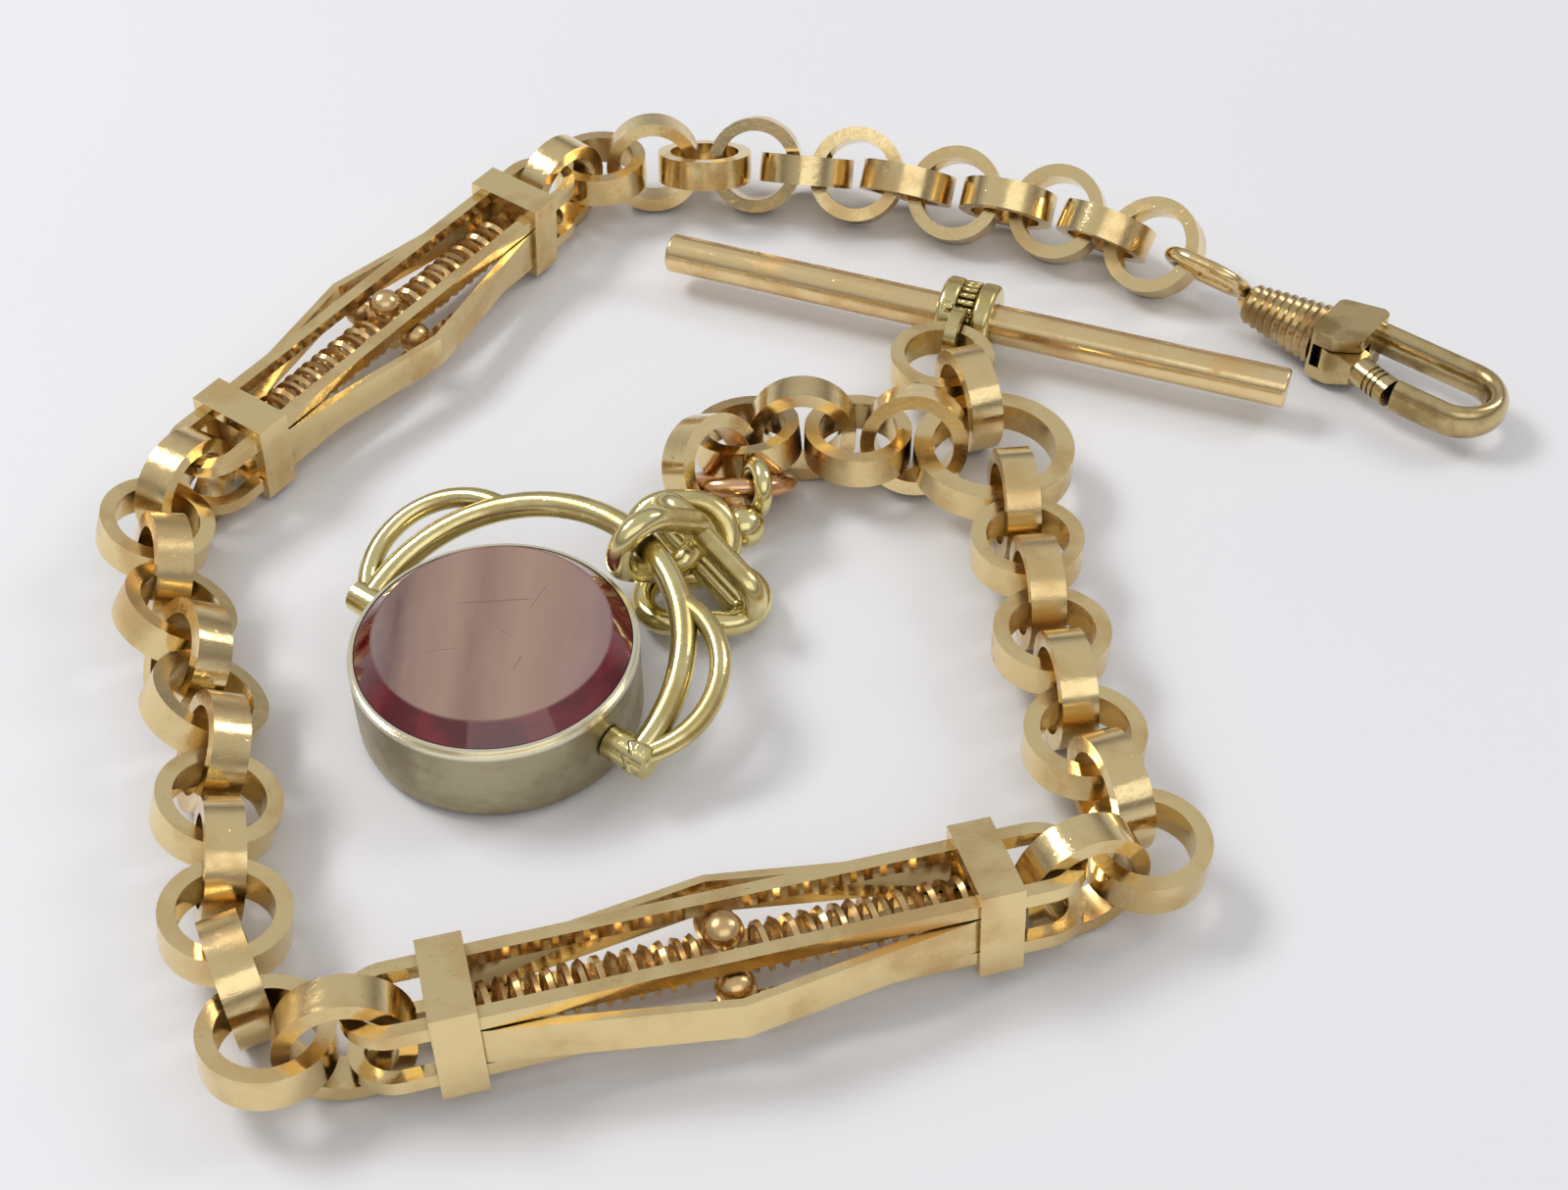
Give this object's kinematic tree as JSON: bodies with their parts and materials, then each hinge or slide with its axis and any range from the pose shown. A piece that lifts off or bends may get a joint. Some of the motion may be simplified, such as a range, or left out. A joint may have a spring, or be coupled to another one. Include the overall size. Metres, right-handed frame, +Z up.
{
  "type": "pocket watch chain with swivel fob",
  "caption": "Albert watch chain of gold belcher links with spring-filled cage links, a centre ring, a T-bar, a dog clip and a swivel stone fob.",
  "frame": {"origin": "axis of the large centre ring, at the height of the table that the chain lies on", "axes": "+Z up, away from the table; +X to the right and +Y away from the viewer in the picture"},
  "size_m": [0.0863, 0.0794, 0.0093],
  "materials": {
    "warm_gold": "polished, worn",
    "green_gold": "satin, tarnished",
    "spring_gold": "satin",
    "copper": "polished",
    "stone": "polished agate"
  },
  "bodies": {
    "centre_ring": {"centre_ring": "warm_gold"},
    "right_link_1": {"right_link_1": "warm_gold"},
    "right_link_2": {"right_link_2": "warm_gold"},
    "right_link_3": {"right_link_3": "warm_gold"},
    "right_link_4": {"right_link_4": "warm_gold"},
    "right_link_5": {"right_link_5": "warm_gold"},
    "right_link_6": {"right_link_6": "warm_gold"},
    "right_link_7": {"right_link_7": "warm_gold"},
    "right_bend_link": {"right_bend_link": "warm_gold"},
    "front_cage_right_link": {"front_cage_right_link": "warm_gold"},
    "front_cage": {"front_cage_hoops": "warm_gold", "front_cage_shell": "warm_gold", "front_cage_springs": "spring_gold"},
    "front_cage_left_link": {"front_cage_left_link": "warm_gold"},
    "left_bend_link": {"left_bend_link": "warm_gold"},
    "left_link_1": {"left_link_1": "warm_gold"},
    "left_link_2": {"left_link_2": "warm_gold"},
    "left_link_3": {"left_link_3": "warm_gold"},
    "left_link_4": {"left_link_4": "warm_gold"},
    "left_link_5": {"left_link_5": "warm_gold"},
    "left_link_6": {"left_link_6": "warm_gold"},
    "left_link_7": {"left_link_7": "warm_gold"},
    "left_link_8": {"left_link_8": "warm_gold"},
    "left_link_9": {"left_link_9": "warm_gold"},
    "left_link_10": {"left_link_10": "warm_gold"},
    "rear_cage_left_link": {"rear_cage_left_link": "warm_gold"},
    "rear_cage": {"rear_cage_hoops": "warm_gold", "rear_cage_shell": "warm_gold", "rear_cage_springs": "spring_gold"},
    "rear_cage_right_link": {"rear_cage_right_link": "warm_gold"},
    "top_link_1": {"top_link_1": "warm_gold"},
    "top_link_2": {"top_link_2": "warm_gold"},
    "top_link_3": {"top_link_3": "warm_gold"},
    "top_link_4": {"top_link_4": "warm_gold"},
    "top_link_5": {"top_link_5": "warm_gold"},
    "top_link_6": {"top_link_6": "warm_gold"},
    "top_link_7": {"top_link_7": "warm_gold"},
    "top_link_8": {"top_link_8": "warm_gold"},
    "top_link_9": {"top_link_9": "warm_gold"},
    "top_link_10": {"top_link_10": "warm_gold"},
    "top_link_11": {"top_link_11": "warm_gold"},
    "top_link_12": {"top_link_12": "warm_gold"},
    "clip_bail": {"clip_bail": "warm_gold"},
    "clip_body": {"clip_barrel": "warm_gold", "clip_hook": "warm_gold"},
    "clip_gate": {"clip_gate": "warm_gold"},
    "drop_link_1": {"drop_link_1": "warm_gold"},
    "drop_link_2": {"drop_link_2": "warm_gold"},
    "t_bar_collar": {"t_bar_collar": "green_gold"},
    "t_bar": {"t_bar": "warm_gold"},
    "fob_link_1": {"fob_link_1": "warm_gold"},
    "fob_link_2": {"fob_link_2": "warm_gold"},
    "fob_link_3": {"fob_link_3": "warm_gold"},
    "fob_link_4": {"fob_link_4": "warm_gold"},
    "fob_link_5": {"fob_link_5": "warm_gold"},
    "jump_ring": {"jump_ring": "copper"},
    "knot": {"knot": "green_gold"},
    "fob_stirrup": {"fob_stirrup": "green_gold"},
    "fob_case": {"fob_case": "green_gold", "fob_stone": "stone"}
  },
  "joints": [
    {"name": "right_link_1_turn", "type": "hinge", "parent": "centre_ring", "child": "right_link_1", "pos_m": [0.0009, -0.00461, 0.0033], "axis": [0.9945, 0.1045, 0], "range_deg": [-19.4, 11.6]},
    {"name": "right_link_2_turn", "type": "hinge", "parent": "right_link_1", "child": "right_link_2", "pos_m": [0.00135, -0.00833, 0.0032], "axis": [0, 0, 1], "range_deg": [-15.5, 15.5]},
    {"name": "right_link_3_turn", "type": "hinge", "parent": "right_link_2", "child": "right_link_3", "pos_m": [0.00168, -0.01207, 0.0033], "axis": [-0.9945, -0.1045, 0], "range_deg": [-19.4, 19.4]},
    {"name": "right_link_4_turn", "type": "hinge", "parent": "right_link_3", "child": "right_link_4", "pos_m": [0.00214, -0.01579, 0.0032], "axis": [0, 0, -1], "range_deg": [-15.5, 15.5]},
    {"name": "right_link_5_turn", "type": "hinge", "parent": "right_link_4", "child": "right_link_5", "pos_m": [0.00259, -0.01951, 0.0033], "axis": [0.989, 0.1478, 0], "range_deg": [-19.4, 19.4]},
    {"name": "right_link_6_turn", "type": "hinge", "parent": "right_link_5", "child": "right_link_6", "pos_m": [0.00325, -0.0232, 0.0032], "axis": [0, 0, 1], "range_deg": [-15.5, 11.6]},
    {"name": "right_link_7_turn", "type": "hinge", "parent": "right_link_6", "child": "right_link_7", "pos_m": [0.00428, -0.0268, 0.0033], "axis": [-0.9483, -0.3173, 0], "range_deg": [-19.4, 19.4]},
    {"name": "right_bend_link_turn", "type": "hinge", "parent": "right_link_7", "child": "right_bend_link", "pos_m": [0.0057, -0.03052, 0.0032], "axis": [0, 0, -1], "range_deg": [-11.6, 5.8]},
    {"name": "front_cage_right_link_turn", "type": "hinge", "parent": "right_bend_link", "child": "front_cage_right_link", "pos_m": [0.00217, -0.03232, 0.00346], "axis": [0.3575, -0.9313, 0.0698], "range_deg": [-19.4, 16.5]},
    {"name": "front_cage_sway", "type": "hinge", "parent": "front_cage_right_link", "child": "front_cage", "pos_m": [0.00188, -0.03239, 0.00347], "axis": [0.2563, -0.9565, 0.1392], "range_deg": [-11.6, 9.9]},
    {"name": "front_cage_left_link_turn", "type": "hinge", "parent": "front_cage", "child": "front_cage_left_link", "pos_m": [-0.03357, -0.04189, 0.00349], "axis": [0.1556, -0.9823, 0.1045], "range_deg": [-19.4, 15.5]},
    {"name": "left_bend_link_turn", "type": "hinge", "parent": "front_cage_left_link", "child": "left_bend_link", "pos_m": [-0.03728, -0.04189, 0.0032], "axis": [0.0696, 0.1205, 0.9903], "range_deg": [-5.8, 19.4]},
    {"name": "left_link_1_turn", "type": "hinge", "parent": "left_bend_link", "child": "left_link_1", "pos_m": [-0.03925, -0.03848, 0.00333], "axis": [0.9058, 0.4224, 0.0349], "range_deg": [-19.4, 19.4]},
    {"name": "left_link_2_turn", "type": "hinge", "parent": "left_link_1", "child": "left_link_2", "pos_m": [-0.04052, -0.03499, 0.0032], "axis": [-0.1656, -0.0522, -0.9848], "range_deg": [-19.4, 5.8]},
    {"name": "left_link_3_turn", "type": "hinge", "parent": "left_link_2", "child": "left_link_3", "pos_m": [-0.04148, -0.0314, 0.00345], "axis": [-0.9327, -0.2325, 0.2756], "range_deg": [-19.4, 19.4]},
    {"name": "left_link_4_turn", "type": "hinge", "parent": "left_link_3", "child": "left_link_4", "pos_m": [-0.04232, -0.02778, 0.0032], "axis": [0.3333, 0.0769, 0.9397], "range_deg": [-5.8, 19.4]},
    {"name": "left_link_5_turn", "type": "hinge", "parent": "left_link_4", "child": "left_link_5", "pos_m": [-0.04315, -0.02416, 0.00338], "axis": [0.8508, 0.236, -0.4695], "range_deg": [-19.4, 19.4]},
    {"name": "left_link_6_turn", "type": "hinge", "parent": "left_link_5", "child": "left_link_6", "pos_m": [-0.0443, -0.02063, 0.0032], "axis": [-0.5203, -0.2049, -0.829], "range_deg": [-19.4, 8.7]},
    {"name": "left_link_7_turn", "type": "hinge", "parent": "left_link_6", "child": "left_link_7", "pos_m": [-0.04587, -0.01726, 0.00326], "axis": [-0.7419, -0.3226, 0.5878], "range_deg": [-11.6, 19.4]},
    {"name": "left_link_8_turn", "type": "hinge", "parent": "left_link_7", "child": "left_link_8", "pos_m": [-0.04727, -0.01381, 0.0032], "axis": [0.5185, 0.2095, 0.829], "range_deg": [-8.7, 19.4]},
    {"name": "left_link_9_turn", "type": "hinge", "parent": "left_link_8", "child": "left_link_9", "pos_m": [-0.04866, -0.01037, 0.00343], "axis": [0.8713, 0.3171, -0.3746], "range_deg": [-19.4, 15.5]},
    {"name": "left_link_10_turn", "type": "hinge", "parent": "left_link_9", "child": "left_link_10", "pos_m": [-0.04981, -0.00684, 0.0032], "axis": [-0.342, 0, -0.9397], "range_deg": [-19.4, 5.8]},
    {"name": "rear_cage_left_link_turn", "type": "hinge", "parent": "left_link_10", "child": "rear_cage_left_link", "pos_m": [-0.04866, -0.00331, 0.00346], "axis": [-0.8808, 0.4683, 0.0698], "range_deg": [-19.4, 9.5]},
    {"name": "rear_cage_sway", "type": "hinge", "parent": "rear_cage_left_link", "child": "rear_cage", "pos_m": [-0.0485, -0.00306, 0.00347], "axis": [-0.8366, 0.5433, 0.0698], "range_deg": [-11.6, 7.1]},
    {"name": "rear_cage_right_link_turn", "type": "hinge", "parent": "rear_cage", "child": "rear_cage_right_link", "pos_m": [-0.02851, 0.02772, 0.00346], "axis": [-0.7861, 0.6142, 0.0698], "range_deg": [-19.4, 11.6]},
    {"name": "top_link_1_turn", "type": "hinge", "parent": "rear_cage_right_link", "child": "top_link_1", "pos_m": [-0.02589, 0.03025, 0.0032], "axis": [-0.0148, 0.0316, 0.9994], "range_deg": [-1.9, 19.4]},
    {"name": "top_link_2_turn", "type": "hinge", "parent": "top_link_1", "child": "top_link_2", "pos_m": [-0.02208, 0.03065, 0.00342], "axis": [-0.0515, 0.9835, -0.1736], "range_deg": [-19.4, 19.4]},
    {"name": "top_link_3_turn", "type": "hinge", "parent": "top_link_2", "child": "top_link_3", "pos_m": [-0.01844, 0.03065, 0.0032], "axis": [-0.006, -0.342, -0.9397], "range_deg": [-19.4, 3.9]},
    {"name": "top_link_4_turn", "type": "hinge", "parent": "top_link_3", "child": "top_link_4", "pos_m": [-0.0148, 0.03053, 0.00338], "axis": [-0.0769, -0.8796, 0.4695], "range_deg": [-19.4, 19.4]},
    {"name": "top_link_5_turn", "type": "hinge", "parent": "top_link_4", "child": "top_link_5", "pos_m": [-0.01119, 0.03002, 0.0032], "axis": [0.0875, 0.5523, 0.829], "range_deg": [-3.9, 19.4]},
    {"name": "top_link_6_turn", "type": "hinge", "parent": "top_link_5", "child": "top_link_6", "pos_m": [-0.00759, 0.02938, 0.0032], "axis": [0.1658, 0.7479, -0.6428], "range_deg": [-19.4, 19.4]},
    {"name": "top_link_7_turn", "type": "hinge", "parent": "top_link_6", "child": "top_link_7", "pos_m": [-0.00407, 0.02844, 0.0032], "axis": [-0.2146, -0.6059, -0.766], "range_deg": [-19.4, 19.4]},
    {"name": "top_link_8_turn", "type": "hinge", "parent": "top_link_7", "child": "top_link_8", "pos_m": [-0.00073, 0.02695, 0.0032], "axis": [-0.2342, -0.6801, 0.6947], "range_deg": [-19.4, 19.4]},
    {"name": "top_link_9_turn", "type": "hinge", "parent": "top_link_8", "child": "top_link_9", "pos_m": [0.00281, 0.02607, 0.0032], "axis": [0.2223, 0.6841, 0.6947], "range_deg": [-19.4, 19.4]},
    {"name": "top_link_10_turn", "type": "hinge", "parent": "top_link_9", "child": "top_link_10", "pos_m": [0.00619, 0.0247, 0.0032], "axis": [0.3154, 0.6189, -0.7193], "range_deg": [-19.4, 19.4]},
    {"name": "top_link_11_turn", "type": "hinge", "parent": "top_link_10", "child": "top_link_11", "pos_m": [0.00929, 0.02277, 0.0032], "axis": [-0.3812, -0.61, -0.6947], "range_deg": [-19.4, 19.4]},
    {"name": "top_link_12_turn", "type": "hinge", "parent": "top_link_11", "child": "top_link_12", "pos_m": [0.01239, 0.02083, 0.0032], "axis": [-0.4181, -0.5548, 0.7193], "range_deg": [-19.4, 19.4]},
    {"name": "clip_bail_sway", "type": "hinge", "parent": "top_link_12", "child": "clip_bail", "pos_m": [0.01353, 0.01987, 0.0032], "axis": [0.6428, 0.766, 0], "range_deg": [0, 9.3]},
    {"name": "clip_swivel", "type": "hinge", "parent": "clip_bail", "child": "clip_body", "pos_m": [0.01825, 0.01592, 0.00235], "axis": [0.766, -0.6428, 0], "continuous": true},
    {"name": "clip_gate_hinge", "type": "hinge", "parent": "clip_body", "child": "clip_gate", "pos_m": [0.02312, 0.01052, 0.00235], "axis": [0, 0, 1], "range_deg": [0, 26], "stiffness_Nm_per_rad": 0.002},
    {"name": "drop_link_1_turn", "type": "hinge", "parent": "centre_ring", "child": "drop_link_1", "pos_m": [-0.00122, 0.0049, 0.0033], "axis": [-0.9511, -0.309, 0], "range_deg": [-19.4, 19.4]},
    {"name": "drop_link_2_turn", "type": "hinge", "parent": "drop_link_1", "child": "drop_link_2", "pos_m": [-0.00273, 0.00828, 0.0032], "axis": [0, 0, 1], "range_deg": [-19.4, 11.6]},
    {"name": "t_bar_collar_sway", "type": "hinge", "parent": "drop_link_2", "child": "t_bar_collar", "pos_m": [-0.00175, 0.01097, 0.0032], "axis": [0.9397, -0.342, 0], "range_deg": [-11.6, 11.6]},
    {"name": "t_bar_turn", "type": "hinge", "parent": "t_bar_collar", "child": "t_bar", "pos_m": [-0.00064, 0.01401, 0.00255], "axis": [0.9397, -0.342, 0], "continuous": true},
    {"name": "fob_link_1_turn", "type": "hinge", "parent": "centre_ring", "child": "fob_link_1", "pos_m": [-0.00477, 0.00087, 0.00345], "axis": [-0.1139, -0.9485, 0.2957], "range_deg": [-19.4, 5.8]},
    {"name": "fob_link_2_turn", "type": "hinge", "parent": "fob_link_1", "child": "fob_link_2", "pos_m": [-0.00827, 0.00108, 0.0032], "axis": [0.0079, 0.0464, 0.9989], "range_deg": [-19.4, 19.4]},
    {"name": "fob_link_3_turn", "type": "hinge", "parent": "fob_link_2", "child": "fob_link_3", "pos_m": [-0.01164, 0.00203, 0.00335], "axis": [0.0314, 0.9981, -0.0523], "range_deg": [-11.6, 19.4]},
    {"name": "fob_link_4_turn", "type": "hinge", "parent": "fob_link_3", "child": "fob_link_4", "pos_m": [-0.01507, 0.00129, 0.0032], "axis": [0.0999, -0.1483, -0.9839], "range_deg": [-11.6, 19.4]},
    {"name": "fob_link_5_turn", "type": "hinge", "parent": "fob_link_4", "child": "fob_link_5", "pos_m": [-0.01705, -0.00161, 0.00336], "axis": [0.6923, -0.5274, 0.4924], "range_deg": [-19.4, 1.9]},
    {"name": "jump_ring_turn", "type": "hinge", "parent": "fob_link_5", "child": "jump_ring", "pos_m": [-0.01549, -0.00168, 0.00216], "axis": [0, 0.6046, 0.7965], "range_deg": [-19.4, 19.4]},
    {"name": "knot_eye_turn", "type": "hinge", "parent": "jump_ring", "child": "knot", "pos_m": [-0.01445, -0.00396, 0.00389], "axis": [0.9397, 0.2724, -0.2068], "range_deg": [-19.4, 19.4]},
    {"name": "stirrup_sway", "type": "hinge", "parent": "knot", "child": "fob_stirrup", "pos_m": [-0.02059, -0.01151, 0.00653], "axis": [-0.6385, 0.7645, 0.0885], "range_deg": [-11.6, 11.6]},
    {"name": "fob_swivel", "type": "hinge", "parent": "fob_stirrup", "child": "fob_case", "pos_m": [-0.0286, -0.0182, 0.00285], "axis": [0.809, -0.5878, 0], "range_deg": [-29.1, 29.1]}
  ]
}
